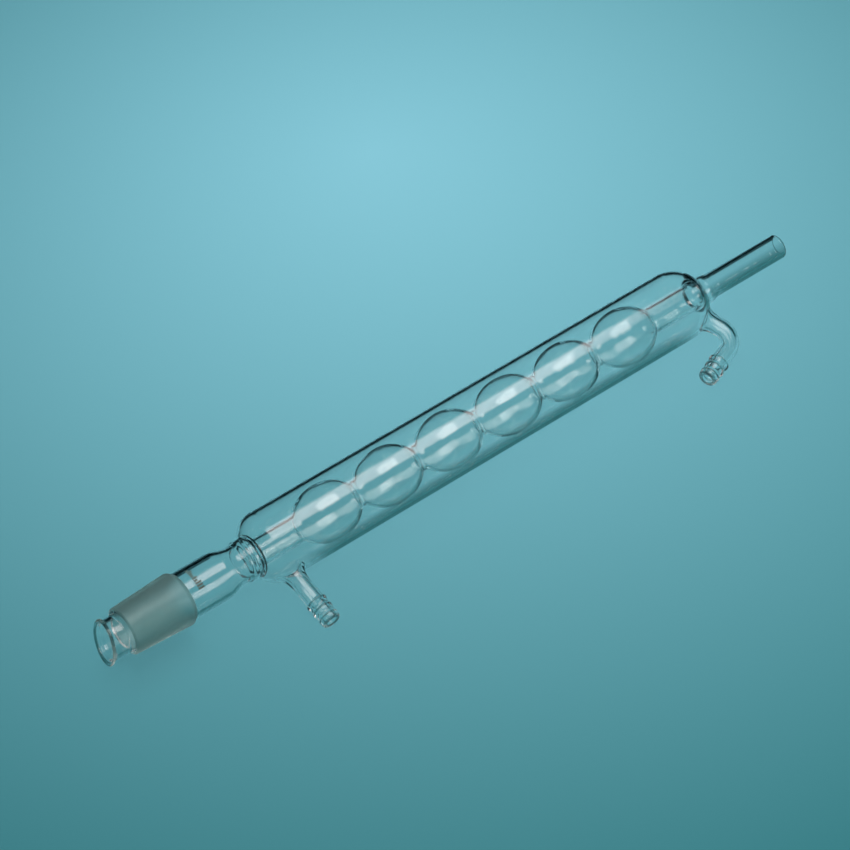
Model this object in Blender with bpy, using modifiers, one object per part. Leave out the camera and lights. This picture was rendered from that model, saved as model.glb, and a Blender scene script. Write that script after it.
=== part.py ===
"""Six-bulb reflux condenser of clear glass, with a ground cone, a drip tip and two hose arms.

It is built upright: local Z runs along the glass from the drip tip to the vapour outlet, with
zero at the wide end of the ground cone, and both arms leave towards local +X. The frame empty
then lays it down, so that it rests on the jacket and on the tip of the inlet arm, with the
drip tip towards world -X. All lengths are in metres and all angles in radians.
"""

import math

import bmesh
import bpy
from mathutils import Matrix, Vector

FUSE_GAP = 0.0003  # between two sections that are fused on the real glass

# Jacket.
JACKET_RADIUS = 0.0160
JACKET_WALL = 0.0014
JACKET_STRAIGHT_FROM = 0.0450  # height where the lower shoulder becomes the straight tube
JACKET_STRAIGHT_TO = 0.2659  # height where the upper shoulder begins
LOWER_SHOULDER_DEPTH = 0.0114  # axial half-axis of the lower shoulder's ellipse
UPPER_SHOULDER_DEPTH = 0.0160
LOWER_SECTION_TOP = 0.0560  # the lower section is the shoulder and the inlet port
UPPER_SECTION_BASE = 0.2560  # the upper section is the outlet port and the shoulder

# Ground cone of a standard 24/29 joint: 24 mm wide at height 0, with a taper of 1 in 10 on the
# diameter, and 29 mm long together with the polished shoulder below its ground face.
CONE_WIDE_RADIUS = 0.0120
CONE_TAPER = 0.1
GROUND_FROM = -0.0274
GROUND_TO = -0.0012  # height where the taper ends and the bevel up to the neck begins
BEVEL_TOP = 0.0015
CONE_BORE = 0.0086

# Drip tip.
DRIP_RADIUS = 0.0085
DRIP_BORE = 0.0070
DRIP_LIP_RADIUS = 0.00965
DRIP_LIP_BORE = 0.0079
DRIP_LIP_HEIGHT = 0.0010
DRIP_FLARE = 0.0020  # height over which the tube widens into the lip
DRIP_SHOULDER = 0.0020  # height of the rounded step up to the cone
DRIP_MOUTH = -0.0378  # height of the middle of the mouth
DRIP_SLANT = math.radians(13)
DRIP_LONG_SIDE = math.radians(30)  # direction of the longest side, measured from the arms

# Neck between the cone and the jacket.
NECK_RADIUS = 0.0105
NECK_BORE = 0.0087
NECK_STRAIGHT_TO = 0.0190
NECK_REDUCED_AT = 0.0286  # height where the neck reaches the waist's radius
WAIST_RADIUS = 0.0084
WAIST_BORE = 0.0068
NECK_TOP = 0.0295

# Ring seals, where the inner tube flares out and is fused to the jacket.
LOWER_SEAL_BASE = NECK_TOP + FUSE_GAP
LOWER_SEAL_TOP = 0.0396
LOWER_SEAL_RADIUS = 0.00925
LOWER_SEAL_FLARE = 0.0017  # height of the step out from the waist to the bead
LOWER_SEAL_BEAD = 0.0061  # height of the bead's straight side
UPPER_SEAL_BASE = 0.2745
UPPER_SEAL_TOP = 0.2822
UPPER_SEAL_RADIUS = 0.0083
UPPER_SEAL_FLARE = 0.0031
UPPER_SEAL_BEAD = 0.0019
SEAL_BORE_SWELL = 0.0004  # how much the upper seal's bore opens inside the bead

# Inner tube.
INNER_RADIUS = 0.0060
INNER_WALL = 0.0012
BULB_COUNT = 6
BULB_RADIUS = 0.0127
BULB_HALF_LENGTH = 0.0157
BULB_PITCH = 0.03228
FIRST_BULB = 0.0753  # height of the middle of the lowest bulb
BLEND_POWER = 8  # a lower power gives a softer waist between two bulbs
BULB_OUTER_POINTS = 11
BULB_INNER_POINTS = 9

# Vapour outlet tube.
VAPOUR_BASE_RADIUS = 0.0066
VAPOUR_RADIUS = 0.0056
VAPOUR_WALL = 0.0015
VAPOUR_STEP_FROM = 0.2840
VAPOUR_STEP_TO = 0.2884
VAPOUR_TOP = 0.3274
RIM_BEVEL = 0.0003

# Hose arms.
ARM_RADIUS = 0.0040
ARM_BORE = 0.0026
INLET_HEIGHT = 0.0457
INLET_REACH = 0.0432  # from the glass's axis to the end of the inlet arm
OUTLET_HEIGHT = 0.2753  # where the outlet arm's middle line crosses the jacket's radius
OUTLET_RISE = math.radians(20.5)  # of the arm's first stretch, towards the vapour outlet
OUTLET_FIRST = 0.0034
OUTLET_BEND = 0.0088
OUTLET_LAST = 0.0185
OUTLET_SINK = 0.0026  # how far past that crossing the middle line meets the dome

# The wide root of each arm, where it is fused to the jacket.
INLET_ROOT_RADIUS = 0.0070
INLET_ROOT_LENGTH = 0.0075
OUTLET_ROOT_RADIUS = 0.0056
OUTLET_ROOT_LENGTH = 0.0045
ROOT_SHARES = (0.02, 0.20, 0.48, 1.0)  # where along its length a root's radius is set
ROOT_BACK = 0.0030  # how far inside the jacket a root goes on widening
ARM_ROOT_DEPTH = 0.0070  # how far an arm is carried on into the jacket before it is trimmed
BORE_OVERRUN = 0.0060
INNER_FLARE = 0.4  # how fast a root's radius goes on widening inside the jacket

# Hose ends.
HOSE_END_LENGTH = 0.0119
HOSE_END_BORE = 0.00235
HOSE_TIP_RADIUS = 0.00415
BARB_COUNT = 3
BARB_CREST = 0.00465
BARB_RISE = 0.0012  # length of a barb's steep side
BARB_LAND = 0.0003
BARB_STEP_DOWN = 0.0002  # how much lower each crest is than the one before it
HOSE_BORE_STEP = 0.0010
TIP_BEVEL = 0.0004

# Facets round each turned section.
JACKET_STEPS = 32
TUBE_STEPS = 20
ARM_STEPS = 16
SHOULDER_POINTS = 7
BEND_POINTS = 9
ENVELOPE_POINTS = 16
ENVELOPE_STEPS = 64

CLEAR_GLASS = ((0.78, 0.93, 0.93, 1.0), 0.03)
GROUND_GLASS = ((0.62, 0.72, 0.71, 1.0), 0.55)


def clear_scene():
    for obj in list(bpy.data.objects):
        bpy.data.objects.remove(obj, do_unlink=True)


def new_collection(name):
    group = bpy.data.collections.new(name)
    bpy.context.scene.collection.children.link(group)
    return group


def glass_material(name, finish):
    colour, roughness = finish
    mat = bpy.data.materials.new(name + "_glass")
    mat.use_nodes = True
    shader = mat.node_tree.nodes["Principled BSDF"]
    shader.inputs["Base Color"].default_value = colour
    shader.inputs["Roughness"].default_value = roughness
    shader.inputs["Metallic"].default_value = 0.0
    shader.inputs["IOR"].default_value = 1.47
    shader.inputs["Transmission Weight"].default_value = 0.9
    mat.diffuse_color = colour
    return mat


def link_part(obj, finish=CLEAR_GLASS):
    """Put a section in the condenser's collection, under its frame and with its own glass."""
    parts.objects.link(obj)
    obj.parent = frame
    obj.data.materials.append(glass_material(obj.name, finish))
    return obj


def add_screw(obj, steps):
    screw = obj.modifiers.new("Turn", "SCREW")
    screw.axis = "Z"
    screw.angle = 2 * math.pi
    screw.screw_offset = 0.0
    screw.steps = steps
    screw.render_steps = steps
    screw.use_merge_vertices = True
    screw.merge_threshold = 0.00001
    screw.use_smooth_shade = True


def profile_object(name, profile, closed, steps):
    mesh = bpy.data.meshes.new(name)
    verts = [(radius, 0.0, height) for radius, height in profile]
    edges = [(i, i + 1) for i in range(len(verts) - 1)]
    if closed:
        edges.append((len(verts) - 1, 0))
    mesh.from_pydata(verts, edges, [])
    obj = bpy.data.objects.new(name, mesh)
    add_screw(obj, steps)
    return obj


def turned(name, outer, inner, steps, finish=CLEAR_GLASS):
    """A turned wall between two (radius, height) outlines, each given from bottom to top."""
    profile = list(reversed(outer)) + list(inner)
    return link_part(profile_object(name, profile, True, steps), finish)


def as_mesh_object(obj, name):
    """Replace an object by a plain mesh object of its evaluated, welded shape."""
    bpy.context.view_layer.update()
    evaluated = obj.evaluated_get(bpy.context.evaluated_depsgraph_get())
    mesh = bpy.data.meshes.new_from_object(evaluated)
    mesh.name = name
    weld(mesh)
    plain = bpy.data.objects.new(name, mesh)
    plain.matrix_world = obj.matrix_world
    bpy.data.objects.remove(obj, do_unlink=True)
    return plain


def weld(mesh):
    bm = bmesh.new()
    bm.from_mesh(mesh)
    bmesh.ops.remove_doubles(bm, verts=bm.verts, dist=0.00001)
    bm.to_mesh(mesh)
    bm.free()


def add_cutter(obj):
    cutters.objects.link(obj)
    obj.hide_render = True
    obj.display_type = "WIRE"
    obj.parent = frame
    return obj


def cut(obj, cutter):
    boolean = obj.modifiers.new("Cut " + cutter.name, "BOOLEAN")
    boolean.operation = "DIFFERENCE"
    boolean.solver = "EXACT"
    boolean.object = cutter


def quarter_ellipse(radius, depth, stop_radius, count):
    """Points of an ellipse from its widest radius, at height 0, in to stop_radius, going up."""
    last = math.acos(stop_radius / radius)
    angles = [last * i / (count - 1) for i in range(count)]
    return [(radius * math.cos(a), depth * math.sin(a)) for a in angles]


def shoulder_outlines(depth, edge_radius):
    """Outer and inner outline of a jacket shoulder that rises from height 0 to its edge."""
    bore = JACKET_RADIUS - JACKET_WALL
    outer = quarter_ellipse(JACKET_RADIUS, depth, edge_radius, SHOULDER_POINTS)
    inner = quarter_ellipse(bore, depth - JACKET_WALL, edge_radius, SHOULDER_POINTS)
    return outer, inner


def bulb_radius(height):
    """Outer radius of the bulbed tube at a height above the middle of a bulb."""
    inside = max(0.0, 1.0 - (height / BULB_HALF_LENGTH) ** 2)
    bulb = BULB_RADIUS * math.sqrt(inside)
    return (bulb**BLEND_POWER + INNER_RADIUS**BLEND_POWER) ** (1 / BLEND_POWER)


def bulb_outline(count, depth):
    """Outline of one bulb from waist to waist, set in from its outer surface by depth."""
    half = (BULB_PITCH - FUSE_GAP) / 2
    step = 0.00001
    points = []
    for i in range(count):
        height = half * math.sin(math.pi * (i / (count - 1) - 0.5))
        slope = (bulb_radius(height + step) - bulb_radius(height - step)) / (2 * step)
        shift = depth / math.hypot(1.0, slope)
        if 0 < i < count - 1:
            height_in = height + slope * shift
        else:
            height_in = height
        points.append((bulb_radius(height) - shift, height_in))
    return points


def eased(stations, count=4):
    """An outline through (radius, height) stations, with a smooth S wherever the radius changes."""
    points = [stations[0]]
    for (r0, z0), (r1, z1) in zip(stations, stations[1:]):
        steps = 1 if r0 == r1 else count
        for i in range(1, steps + 1):
            t = i / steps
            points.append((r0 + (r1 - r0) * t * t * (3 - 2 * t), z0 + (z1 - z0) * t))
    return points


def raised(outline, height, flipped=False):
    """An outline moved up by height, or turned upside down first."""
    if flipped:
        return [(r, height - z) for r, z in reversed(outline)]
    return [(r, height + z) for r, z in outline]


def cone_radius(height):
    """Outer radius of the ground taper at a height."""
    return CONE_WIDE_RADIUS + CONE_TAPER * height / 2


def make_drip_tip():
    top = GROUND_FROM - FUSE_GAP
    lip_top = DRIP_MOUTH + DRIP_LIP_HEIGHT
    flare_top = lip_top + DRIP_FLARE
    outer = eased([
        (DRIP_LIP_RADIUS, DRIP_MOUTH),
        (DRIP_LIP_RADIUS, lip_top),
        (DRIP_RADIUS, flare_top),
        (DRIP_RADIUS, top - DRIP_SHOULDER),
        (cone_radius(GROUND_FROM), top),
    ])
    inner = eased([
        (DRIP_LIP_BORE, DRIP_MOUTH),
        (DRIP_BORE, flare_top),
        (DRIP_BORE, top - DRIP_SHOULDER),
        (CONE_BORE, top),
    ], 3)
    plain = as_mesh_object(turned("turned_drip", outer, inner, TUBE_STEPS), "drip_tip")
    plain.data.materials.clear()
    plain.matrix_world = Matrix.Identity(4)
    slant_mouth(plain.data, flare_top, top - DRIP_SHOULDER)
    link_part(plain)


def slant_mouth(mesh, full_below, none_above):
    """Shear the mouth so that its plane leans, fading out between the two heights."""
    along = Vector((math.cos(DRIP_LONG_SIDE), math.sin(DRIP_LONG_SIDE), 0.0))
    for vert in mesh.vertices:
        share = (none_above - vert.co.z) / (none_above - full_below)
        share = min(max(share, 0.0), 1.0)
        vert.co.z -= share * math.tan(DRIP_SLANT) * vert.co.dot(along)


def make_ground_cone():
    outer = [
        (cone_radius(GROUND_FROM), GROUND_FROM),
        (cone_radius(GROUND_TO), GROUND_TO),
        (NECK_RADIUS, BEVEL_TOP),
    ]
    inner = [(CONE_BORE, GROUND_FROM), (NECK_BORE, BEVEL_TOP)]
    turned("ground_cone", outer, inner, TUBE_STEPS, GROUND_GLASS)


def make_cone_neck():
    base = BEVEL_TOP + FUSE_GAP
    outer = eased([
        (NECK_RADIUS, base),
        (NECK_RADIUS, NECK_STRAIGHT_TO),
        (WAIST_RADIUS, NECK_REDUCED_AT),
        (WAIST_RADIUS, NECK_TOP),
    ], 6)
    inner = eased([
        (NECK_BORE, base),
        (NECK_BORE, NECK_STRAIGHT_TO),
        (WAIST_BORE, NECK_REDUCED_AT),
        (WAIST_BORE, NECK_TOP),
    ], 5)
    turned("cone_neck", outer, inner, TUBE_STEPS)


def make_lower_ring_seal():
    """The waist, then a bead where the inner tube's flared end meets the jacket."""
    low, high = LOWER_SEAL_BASE, LOWER_SEAL_TOP
    bead = low + LOWER_SEAL_FLARE
    outer = eased([
        (WAIST_RADIUS, low),
        (LOWER_SEAL_RADIUS, bead),
        (LOWER_SEAL_RADIUS, bead + LOWER_SEAL_BEAD),
        (INNER_RADIUS, high),
    ], 5)
    inner = eased([
        (WAIST_BORE, low),
        (WAIST_BORE, bead),
        (INNER_RADIUS - INNER_WALL, high),
    ], 5)
    turned("lower_ring_seal", outer, inner, TUBE_STEPS)


def make_upper_ring_seal():
    """The inner tube's flared end, its bead on the dome, and the start of the vapour tube."""
    low, high = UPPER_SEAL_BASE, UPPER_SEAL_TOP
    bore = INNER_RADIUS - INNER_WALL
    bead = low + UPPER_SEAL_FLARE
    outer = eased([
        (INNER_RADIUS, low),
        (UPPER_SEAL_RADIUS, bead),
        (UPPER_SEAL_RADIUS, bead + UPPER_SEAL_BEAD),
        (VAPOUR_BASE_RADIUS, high),
    ])
    inner = eased([
        (bore, low),
        (bore + SEAL_BORE_SWELL, bead),
        (VAPOUR_BASE_RADIUS - VAPOUR_WALL, high),
    ], 3)
    turned("upper_ring_seal", outer, inner, TUBE_STEPS)


def make_inner_stem(name, low, high):
    bore = INNER_RADIUS - INNER_WALL
    outer = [(INNER_RADIUS, low), (INNER_RADIUS, high)]
    inner = [(bore, low), (bore, high)]
    turned(name, outer, inner, TUBE_STEPS)


def make_inner_tube():
    half = (BULB_PITCH - FUSE_GAP) / 2
    last_bulb = FIRST_BULB + (BULB_COUNT - 1) * BULB_PITCH
    make_inner_stem("lower_inner_stem", LOWER_SEAL_TOP + FUSE_GAP, FIRST_BULB - half - FUSE_GAP)
    make_inner_stem("upper_inner_stem", last_bulb + half + FUSE_GAP, UPPER_SEAL_BASE - FUSE_GAP)
    outer = bulb_outline(BULB_OUTER_POINTS, 0.0)
    inner = bulb_outline(BULB_INNER_POINTS, INNER_WALL)
    for i in range(BULB_COUNT):
        height = FIRST_BULB + i * BULB_PITCH
        turned(f"bulb_{i + 1}", raised(outer, height), raised(inner, height), TUBE_STEPS)


def make_jacket():
    """The three jacket sections, each with its first facet edge on the resting line."""
    wall = JACKET_RADIUS - JACKET_WALL
    lower_edge = LOWER_SEAL_RADIUS + FUSE_GAP
    outer, inner = shoulder_outlines(LOWER_SHOULDER_DEPTH, lower_edge)
    outer = raised(outer, JACKET_STRAIGHT_FROM, flipped=True)
    inner = raised(inner, JACKET_STRAIGHT_FROM, flipped=True)
    outer += [(JACKET_RADIUS, LOWER_SECTION_TOP)]
    inner += [(wall, LOWER_SECTION_TOP)]
    lower = turned("jacket_lower_shoulder", outer, inner, JACKET_STEPS)

    low, high = LOWER_SECTION_TOP + FUSE_GAP, UPPER_SECTION_BASE - FUSE_GAP
    outer = [(JACKET_RADIUS, low), (JACKET_RADIUS, high)]
    inner = [(wall, low), (wall, high)]
    middle = turned("jacket_tube", outer, inner, JACKET_STEPS)

    upper_edge = UPPER_SEAL_RADIUS + FUSE_GAP
    outer, inner = shoulder_outlines(UPPER_SHOULDER_DEPTH, upper_edge)
    outer = [(JACKET_RADIUS, UPPER_SECTION_BASE)] + raised(outer, JACKET_STRAIGHT_TO)
    inner = [(wall, UPPER_SECTION_BASE)] + raised(inner, JACKET_STRAIGHT_TO)
    upper = turned("jacket_upper_shoulder", outer, inner, JACKET_STEPS)

    for section in (lower, middle, upper):
        section.rotation_euler.z = math.pi / 2 - arm_droop()
    return lower, upper


def make_vapour_outlet():
    low = UPPER_SEAL_TOP + FUSE_GAP
    outer = eased([
        (VAPOUR_BASE_RADIUS, low),
        (VAPOUR_BASE_RADIUS, VAPOUR_STEP_FROM),
        (VAPOUR_RADIUS, VAPOUR_STEP_TO),
    ], 3)
    inner = [(radius - VAPOUR_WALL, height) for radius, height in outer]
    inner += [(VAPOUR_RADIUS - VAPOUR_WALL, VAPOUR_TOP)]
    outer += [(VAPOUR_RADIUS, VAPOUR_TOP - RIM_BEVEL), (VAPOUR_RADIUS - RIM_BEVEL, VAPOUR_TOP)]
    turned("vapour_outlet_tube", outer, inner, TUBE_STEPS)


def arm_droop():
    """Angle below level of the arms when the jacket and the inlet arm's tip both rest."""
    whole = math.hypot(INLET_REACH, HOSE_TIP_RADIUS)
    return math.asin(JACKET_RADIUS / whole) - math.atan2(HOSE_TIP_RADIUS, INLET_REACH)


def jacket_envelope():
    """A solid just larger than the jacket, which trims the roots of both arms."""
    radius = JACKET_RADIUS + FUSE_GAP
    centre = 0.01 * radius  # small enough to close both ends onto the middle line
    lower = quarter_ellipse(radius, LOWER_SHOULDER_DEPTH + FUSE_GAP, centre, ENVELOPE_POINTS)
    upper = quarter_ellipse(radius, UPPER_SHOULDER_DEPTH + FUSE_GAP, centre, ENVELOPE_POINTS)
    profile = list(reversed(raised(upper, JACKET_STRAIGHT_TO)))
    profile += list(reversed(raised(lower, JACKET_STRAIGHT_FROM, flipped=True)))
    profile = [(0.0, profile[0][1])] + profile + [(0.0, profile[-1][1])]
    return add_cutter(profile_object("jacket_envelope", profile, False, ENVELOPE_STEPS))


def along_x(obj, distance, height):
    """Turn an object's own Z towards the arms' side and set it at a distance and a height."""
    obj.rotation_euler = (0.0, math.pi / 2, 0.0)
    obj.location = (distance, 0.0, height)
    return obj


def root_outline(radius, length):
    """(radius, distance) pairs of an arm's root, from inside the jacket to its plain tube."""
    made = [(radius + INNER_FLARE * ROOT_BACK, -ROOT_BACK)]
    for share in ROOT_SHARES:
        sweep = 1 - math.sqrt(1 - (1 - share) ** 2)
        made.append((ARM_RADIUS + (radius - ARM_RADIUS) * sweep, share * length))
    return made


def make_inlet_arm(envelope):
    end = INLET_REACH - HOSE_END_LENGTH - FUSE_GAP
    root = JACKET_RADIUS - ARM_ROOT_DEPTH
    outline = root_outline(INLET_ROOT_RADIUS, INLET_ROOT_LENGTH)
    outer = [(radius, JACKET_RADIUS + distance) for radius, distance in outline]
    outer = [(outer[0][0], root)] + outer + [(ARM_RADIUS, end)]
    inner = [(ARM_BORE, root), (ARM_BORE, end)]
    arm = along_x(turned("water_inlet_arm", outer, inner, ARM_STEPS), 0.0, INLET_HEIGHT)
    cut(arm, envelope)


def outlet_directions():
    """Unit vectors of the outlet arm's first and last stretch."""
    rise = OUTLET_RISE
    first = Vector((math.cos(rise), 0.0, math.sin(rise)))
    last = Vector((math.sin(rise), 0.0, -math.cos(rise)))
    return first, last


def outlet_corners():
    """Where the outlet arm crosses the jacket's radius, and where its bend starts and ends."""
    first, last = outlet_directions()
    crossing = Vector((JACKET_RADIUS, 0.0, OUTLET_HEIGHT))
    bend_start = crossing + first * OUTLET_FIRST
    bend_end = bend_start + last * OUTLET_BEND + first * OUTLET_BEND
    return crossing, bend_start, bend_end


def outlet_root():
    """(radius, distance) pairs of the outlet arm's root, from where it crosses the radius."""
    outline = root_outline(OUTLET_ROOT_RADIUS, OUTLET_ROOT_LENGTH)
    outline = [(outline[0][0], OUTLET_SINK - ARM_ROOT_DEPTH)] + outline
    return [(radius, distance - OUTLET_SINK) for radius, distance in outline]


def outlet_route(overrun):
    """The outlet arm's middle line: a straight root, a quarter bend and a straight end."""
    first, last = outlet_directions()
    crossing, bend_start, bend_end = outlet_corners()
    centre = bend_start + last * OUTLET_BEND
    points = [crossing + first * distance for _, distance in outlet_root()]
    points[0] -= first * overrun
    for i in range(BEND_POINTS):
        angle = math.pi / 2 * i / (BEND_POINTS - 1)
        arm = first * math.sin(angle) - last * math.cos(angle)
        points.append(centre + arm * OUTLET_BEND)
    arm_end = OUTLET_LAST - HOSE_END_LENGTH - FUSE_GAP
    points.append(bend_end + last * (arm_end + overrun))
    return points


def tube_along(name, points, radius, root_scales):
    curve = bpy.data.curves.new(name + "_line", "CURVE")
    curve.dimensions = "3D"
    curve.bevel_depth = radius
    curve.bevel_resolution = ARM_STEPS // 2 - 2
    curve.use_fill_caps = True
    spline = curve.splines.new("POLY")
    spline.points.add(len(points) - 1)
    for i, (point, place) in enumerate(zip(spline.points, points)):
        point.co = (*place, 1.0)
        point.radius = root_scales[i] if i < len(root_scales) else 1.0
    line = bpy.data.objects.new(name + "_line", curve)
    bpy.context.scene.collection.objects.link(line)
    return as_mesh_object(line, name)


def make_outlet_arm(envelope):
    scales = [radius / ARM_RADIUS for radius, _ in outlet_root()]
    arm = link_part(tube_along("water_outlet_arm", outlet_route(0.0), ARM_RADIUS, scales))
    bore = add_cutter(tube_along("outlet_bore", outlet_route(BORE_OVERRUN), ARM_BORE, []))
    cut(arm, bore)
    cut(arm, envelope)
    return bore


def hose_end_outlines():
    """Outlines of a hose end from its root, at height 0, to its tip."""
    pitch = HOSE_END_LENGTH / BARB_COUNT
    outer = []
    for i in range(BARB_COUNT):
        crest = BARB_CREST - BARB_STEP_DOWN * i
        outer.append((ARM_RADIUS, pitch * i))
        outer.append((crest, pitch * i + BARB_RISE))
        outer.append((crest, pitch * i + BARB_RISE + BARB_LAND))
    outer.append((HOSE_TIP_RADIUS, HOSE_END_LENGTH - TIP_BEVEL))
    outer.append((HOSE_TIP_RADIUS - TIP_BEVEL, HOSE_END_LENGTH))
    inner = [(ARM_BORE, 0.0), (HOSE_END_BORE, HOSE_BORE_STEP), (HOSE_END_BORE, HOSE_END_LENGTH)]
    return outer, inner


def make_hose_ends():
    outer, inner = hose_end_outlines()
    inlet = turned("water_inlet_hose_end", outer, inner, ARM_STEPS)
    along_x(inlet, INLET_REACH - HOSE_END_LENGTH, INLET_HEIGHT)
    outlet = turned("water_outlet_hose_end", outer, inner, ARM_STEPS)
    _, last = outlet_directions()
    _, _, bend_end = outlet_corners()
    outlet.location = bend_end + last * (OUTLET_LAST - HOSE_END_LENGTH)
    outlet.rotation_euler = (0.0, math.pi - OUTLET_RISE, 0.0)


def make_inlet_bore():
    bpy.ops.mesh.primitive_cylinder_add(vertices=ARM_STEPS, radius=ARM_BORE, depth=BORE_OVERRUN)
    bore = bpy.context.active_object
    bore.name = "inlet_bore"
    bpy.context.collection.objects.unlink(bore)
    return along_x(add_cutter(bore), JACKET_RADIUS, INLET_HEIGHT)


def lay_down():
    """Lay the condenser along world X, arms towards -Y, with its origin under its middle."""
    droop = arm_droop()
    arms = Vector((0.0, -math.cos(droop), -math.sin(droop)))
    axis = Vector((1.0, 0.0, 0.0))
    turn = Matrix((arms, axis.cross(arms), axis)).transposed()
    frame.rotation_euler = turn.to_euler()
    bpy.context.view_layer.update()
    graph = bpy.context.evaluated_depsgraph_get()
    corners = []
    for obj in parts.objects:
        evaluated = obj.evaluated_get(graph)
        corners += [obj.matrix_world @ vert.co for vert in evaluated.data.vertices]
    low = Vector([min(c[i] for c in corners) for i in range(3)])
    high = Vector([max(c[i] for c in corners) for i in range(3)])
    frame.location = (-(low.x + high.x) / 2, -(low.y + high.y) / 2, -low.z)
    bpy.context.view_layer.update()


clear_scene()
parts = new_collection("liebig_condenser")
cutters = new_collection("cutters")
frame = bpy.data.objects.new("condenser_frame", None)
bpy.context.scene.collection.objects.link(frame)

make_drip_tip()
make_ground_cone()
make_cone_neck()
make_lower_ring_seal()
make_inner_tube()
make_upper_ring_seal()
make_vapour_outlet()
lower_jacket, upper_jacket = make_jacket()
envelope = jacket_envelope()
make_inlet_arm(envelope)
outlet_bore = make_outlet_arm(envelope)
cut(lower_jacket, make_inlet_bore())
cut(upper_jacket, outlet_bore)
make_hose_ends()
lay_down()
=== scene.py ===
"""Looks of the six-bulb reflux condenser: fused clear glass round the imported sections.

On the real object all sections are one piece of glass, so here two sections meet with no gap,
and the two faces that touch carry a fully transparent material: light crosses a fused seam
without bending.
"""

import math

import bmesh
import bpy
from mathutils import Matrix, Vector


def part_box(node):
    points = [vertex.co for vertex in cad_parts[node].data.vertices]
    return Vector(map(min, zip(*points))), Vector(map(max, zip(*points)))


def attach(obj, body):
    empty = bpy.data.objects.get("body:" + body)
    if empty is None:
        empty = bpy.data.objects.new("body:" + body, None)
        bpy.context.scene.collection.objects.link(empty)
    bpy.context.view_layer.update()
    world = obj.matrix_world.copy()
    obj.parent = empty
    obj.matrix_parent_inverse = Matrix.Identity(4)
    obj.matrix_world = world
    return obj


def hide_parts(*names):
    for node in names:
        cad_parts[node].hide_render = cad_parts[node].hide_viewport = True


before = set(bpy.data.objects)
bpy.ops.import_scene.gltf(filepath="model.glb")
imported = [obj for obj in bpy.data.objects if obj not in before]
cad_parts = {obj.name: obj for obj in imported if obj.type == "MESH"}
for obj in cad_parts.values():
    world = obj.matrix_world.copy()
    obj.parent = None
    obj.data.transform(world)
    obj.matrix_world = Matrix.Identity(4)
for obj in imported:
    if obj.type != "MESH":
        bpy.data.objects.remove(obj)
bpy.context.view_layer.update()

MM = 0.001  # local lengths are in millimetres

# Ground cone of a 24/29 joint, drip tip and neck.
CONE_WIDE = 12.0  # radius that the taper reaches at height 0
CONE_SLOPE = 0.05  # a taper of 1 in 10 on the diameter
GROUND_FROM = -27.4
GROUND_TO = -1.2
CONE_TOP = 1.5  # height of the bevel's upper end, where the neck begins
CONE_NARROW = CONE_WIDE + CONE_SLOPE * GROUND_FROM
CONE_BORE = 8.6
DRIP_RADIUS = 8.5
DRIP_BORE = 7.0
DRIP_LIP = 9.65
DRIP_LIP_HALF = 0.75  # half the thickness of the rounded lip
DRIP_MOUTH = -37.8
DRIP_FLARE = 40  # degrees from outwards, where the flare runs into the lip
DRIP_TUBE_FROM, DRIP_TUBE_TO = -35.3, -29.9  # the tip's straight stretch, outside
DRIP_BORE_FROM, DRIP_BORE_TO = -35.0, -30.4  # and inside
DRIP_SLANT = math.tan(math.radians(13))
DRIP_LONG_SIDE = math.radians(30)  # direction of the longest side, measured from the arms
SLANT_FULL = -35.9  # below this height the tip has its full slant
SLANT_NONE = -30.4  # and above this height none
NECK_RADIUS = 10.5
NECK_BORE = 8.7
NECK_STRAIGHT_TO = 12.0
WAIST_RADIUS = 8.4
WAIST_BORE = 6.8
NECK_TOP = 29.5

# Jacket and the two ring seals.
JACKET = 16.0
JACKET_BORE = 14.6
STRAIGHT_FROM = 45.0
STRAIGHT_TO = 265.9
LOWER_DEPTH = 11.4
UPPER_DEPTH = 16.0
JACKET_WALL = JACKET - JACKET_BORE
LOWER_CUT = 56.0  # where the shoulder sections end and the straight section begins
UPPER_CUT = 256.0
LOWER_SEAM = 9.55  # radius at which the jacket meets a ring seal
UPPER_SEAM = 8.6
LOWER_SEAL_TOP = 39.6
UPPER_SEAL_BASE = 274.5
UPPER_SEAL_TOP = 282.2
SHOULDER_POINTS = 28
LOWER_RINGS = (52.0, 48.5)  # heights of the extra rings on a shoulder section's straight stretch
UPPER_RINGS = (259.5, 263.0)
TUBE_RINGS = 10

# Inner tube and vapour tube.
INNER = 6.0
INNER_BORE = 4.8
BULB = 12.7
BULB_HALF = 16.0
BULB_WALL = 1.0
BULB_PITCH = 32.28
FIRST_BULB = 75.3
BULB_COUNT = 6
BLEND_POWER = 8  # a lower power gives a softer waist between two bulbs
BULB_POINTS = 56
VAPOUR_BASE = 6.6
VAPOUR = 5.6
VAPOUR_WALL = 1.5
VAPOUR_STEP_TO = 288.8
VAPOUR_TOP = 327.4
# Painted shade: this part of the vapour tube's rolled end gets a darker tint.
VAPOUR_SHADE_FROM, VAPOUR_SHADE_TO = 35, 155  # darker part of the rolled end, in degrees

# Hose arms.
ARM = 4.0
ARM_BORE = 2.6
INLET_HEIGHT = 45.7
INLET_REACH = 43.2
OUTLET_HEIGHT = 275.3
OUTLET_RISE = math.radians(20.5)
OUTLET_FIRST = 3.4
OUTLET_BEND = 8.8
OUTLET_LAST = 18.5
BEND_STEPS = 24
HOSE_END = 11.9
HOSE_BORE = 2.35
HOSE_BORE_STEP = 1.2  # length over which the bore narrows from the arm's
HOSE_TIP = 4.15
TIP_ROUND = 0.8  # size of the rounding outside and inside the tip
MOUTH_ROUND = 0.5
BARBS = 3
BARB_CREST = 4.72
BARB_STEP = 0.14  # how much lower each crest is than the one before
INLET_FOOT = (7.0, 7.5)  # radius of an arm's root on the jacket, and the root's length
OUTLET_FOOT = (5.95, 5.6)
ROOT_WALL = 1.5  # how far the flare inside a root stays within its sweep outside
ROOT_CLEAR = 0.3  # from the end of the inlet's root to its first ring

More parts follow.
